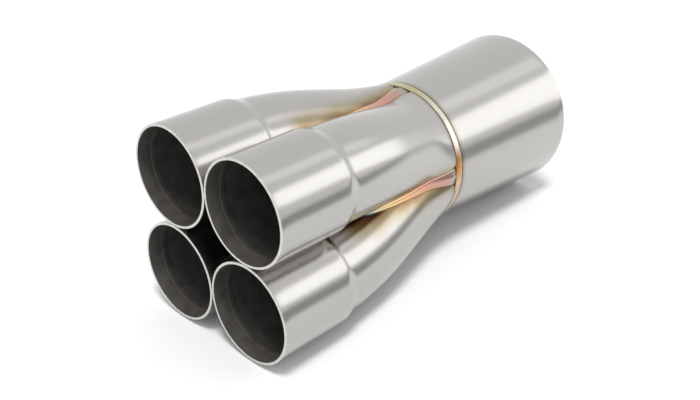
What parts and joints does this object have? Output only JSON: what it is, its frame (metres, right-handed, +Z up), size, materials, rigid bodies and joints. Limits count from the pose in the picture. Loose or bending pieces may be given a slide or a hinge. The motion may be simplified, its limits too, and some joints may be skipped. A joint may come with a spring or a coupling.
{
  "type": "exhaust merge collector",
  "caption": "Welded stainless exhaust collector: round slip sockets bend together through mitred runners into one diverging outlet cone.",
  "frame": {"origin": "middle of the collector on its axis, the centre of its bounding box", "axes": "+X along the collector's axis out of the outlet, +Y to the left seen from the inlets, +Z up, inlets two over two"},
  "size_m": [0.225, 0.1018, 0.1018],
  "materials": {
    "runner_steel": "satin brushed stainless tube",
    "cone_steel": "satin brushed stainless cone",
    "throat_bead": "rippled weld bead, straw tint",
    "valley_bead": "rippled weld bead, pink and gold tint",
    "filler_steel": "heat-greyed stainless plate",
    "inner_bead": "dull grey weld"
  },
  "bodies": {
    "root": {"runner_upper_left": "runner_steel", "runner_upper_right": "runner_steel", "runner_lower_right": "runner_steel", "runner_lower_left": "runner_steel", "outlet_cone": "cone_steel", "throat_weld": "throat_bead", "valley_weld_top": "valley_bead", "valley_weld_right": "valley_bead", "valley_weld_bottom": "valley_bead", "valley_weld_left": "valley_bead", "filler_plate_top": "filler_steel", "filler_plate_right": "filler_steel", "filler_plate_bottom": "filler_steel", "filler_plate_left": "filler_steel", "inner_seam_top": "inner_bead", "inner_seam_right": "inner_bead", "inner_seam_bottom": "inner_bead", "inner_seam_left": "inner_bead", "merge_point_weld": "inner_bead"}
  },
  "joints": []
}
